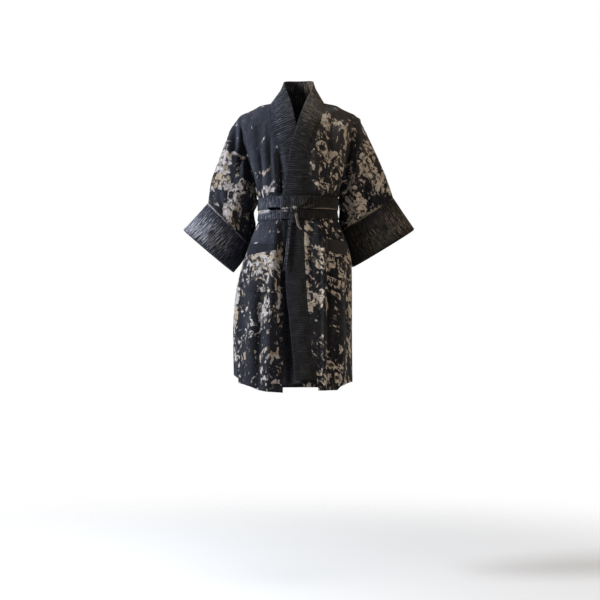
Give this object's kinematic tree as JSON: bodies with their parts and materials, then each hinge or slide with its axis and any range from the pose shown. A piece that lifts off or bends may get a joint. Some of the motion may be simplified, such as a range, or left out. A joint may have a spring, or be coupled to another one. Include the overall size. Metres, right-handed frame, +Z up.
{
  "type": "kimono",
  "caption": "Short wrap kimono as worn, hollow, with wide cuffed sleeves, a neckband to the hem, patch pockets and a tied belt.",
  "frame": {"origin": "middle of the shoulder line at the base of the neck, where the wearer carries the robe", "axes": "+Z up, the wearer faces -Y, +X to the wearer's left"},
  "size_m": [0.7303, 0.2867, 0.9871],
  "materials": {
    "mottled_cloth": "heavy indigo-black cotton, mottled off-white and tan",
    "ribbed_cloth": "dark slubbed ribbed weave with light flecks",
    "plain_cloth": "plain dark cotton"
  },
  "bodies": {
    "root": {"back": "mottled_cloth", "neckband": "ribbed_cloth", "belt_upper": "ribbed_cloth", "belt_lower": "ribbed_cloth", "belt_knot": "ribbed_cloth", "belt_tail_long": "ribbed_cloth", "belt_tail_short": "ribbed_cloth", "front_right": "mottled_cloth", "sleeve_right": "mottled_cloth", "cuff_right": "ribbed_cloth", "pocket_right": "mottled_cloth", "pocket_welt_right": "plain_cloth", "front_left": "mottled_cloth", "sleeve_left": "mottled_cloth", "cuff_left": "ribbed_cloth", "pocket_left": "mottled_cloth", "pocket_welt_left": "plain_cloth"}
  },
  "joints": []
}
